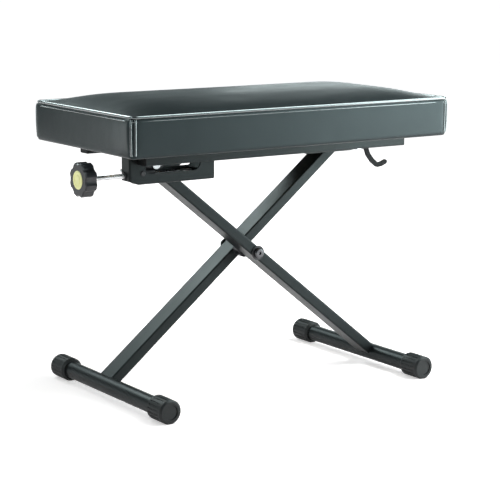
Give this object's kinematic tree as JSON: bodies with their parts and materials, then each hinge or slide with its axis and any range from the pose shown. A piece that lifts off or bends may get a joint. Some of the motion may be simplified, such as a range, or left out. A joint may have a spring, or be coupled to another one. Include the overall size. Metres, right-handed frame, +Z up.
{
  "type": "folding keyboard bench",
  "caption": "Padded rectangular bench on a folding X frame of flat tubes, with a screw height adjuster under one end and a latch lever under the other.",
  "frame": {"origin": "centre of the overall box in X and Y, on the floor, at the lowest seat setting", "axes": "+X along the seat away from the adjuster knob, +Y from front to back, +Z up"},
  "size_m": [0.6559, 0.361, 0.4861],
  "materials": {
    "leatherette": "semi-matte black artificial leather",
    "foam": "open-cell foam",
    "plywood": "raw plywood",
    "powder_coat": "satin black powder coat",
    "zinc_steel": "bright zinc",
    "black_steel": "black oxide",
    "rubber": "matte black",
    "plastic": "satin black",
    "cap_yellow": "satin pale yellow"
  },
  "bodies": {
    "seat_frame": {"seat_cover": "leatherette", "seat_foam": "foam", "seat_board": "plywood", "seat_welt": "leatherette", "cover_staples": "zinc_steel", "seat_screws": "zinc_steel", "front_rail": "powder_coat", "rear_rail": "powder_coat", "rail_end_plugs": "plastic", "adjuster_plate": "powder_coat", "adjuster_cross_plate": "powder_coat", "plate_rivet": "black_steel", "front_axle_guides": "powder_coat", "rod_support": "powder_coat", "rod_bushing": "plastic", "rear_axle_guides": "powder_coat", "latch_cross_plate": "powder_coat", "latch_lug": "powder_coat", "latch_pin": "zinc_steel"},
    "height_screw": {"threaded_rod": "zinc_steel", "rod_collar": "black_steel", "rod_end_ring": "zinc_steel", "hand_knob": "plastic", "knob_cap": "cap_yellow", "knob_pin": "zinc_steel"},
    "carriage": {"screw_carriage": "black_steel"},
    "front_leg": {"front_leg_tube": "powder_coat", "front_leg_bush": "plastic", "front_leg_pivot_sleeve": "zinc_steel", "right_foot_bar": "powder_coat", "right_foot_caps": "rubber", "front_axle": "zinc_steel", "front_axle_clip": "zinc_steel", "front_axle_washers": "zinc_steel", "pivot_bolt": "zinc_steel", "pivot_nut": "zinc_steel", "pivot_washers": "black_steel", "pivot_spacer": "plastic"},
    "rear_leg": {"rear_leg_tube": "powder_coat", "rear_leg_bush": "plastic", "rear_leg_pivot_sleeve": "zinc_steel", "left_foot_bar": "powder_coat", "left_foot_caps": "rubber", "rear_axle": "zinc_steel", "rear_axle_clips": "zinc_steel"},
    "latch_lever": {"latch_lever": "powder_coat", "latch_spring": "zinc_steel"}
  },
  "joints": [
    {"name": "carriage_slide", "type": "slide", "parent": "seat_frame", "child": "carriage", "axis": [1, 0, 0], "range_m": [0, 0.064]},
    {"name": "height_screw_turn", "type": "hinge", "parent": "seat_frame", "child": "height_screw", "pos_m": [-0.32695, -0.062, 0.37249], "axis": [1, 0, 0], "range_deg": [0, 5760.01]},
    {"name": "fold", "type": "hinge", "parent": "carriage", "child": "front_leg", "pos_m": [-0.18437, 0, 0.38549], "axis": [0, -1, 0], "range_deg": [-10.2, 34.45]},
    {"name": "leg_cross", "type": "hinge", "parent": "front_leg", "child": "rear_leg", "pos_m": [0.01705, 0, 0.22267], "axis": [0, 1, 0], "range_deg": [-20.41, 68.91]},
    {"name": "latch_lift", "type": "hinge", "parent": "seat_frame", "child": "latch_lever", "pos_m": [0.18947, -0.0595, 0.39499], "axis": [0, -1, 0], "range_deg": [0, 14], "stiffness_Nm_per_rad": 0.4, "springref_deg": -14.32}
  ],
  "couplings": [
    {"joint": "height_screw_turn", "follows": "carriage_slide", "rad_per_m": 1570.8},
    {"joint": "leg_cross", "follows": "fold", "ratio": 2}
  ]
}
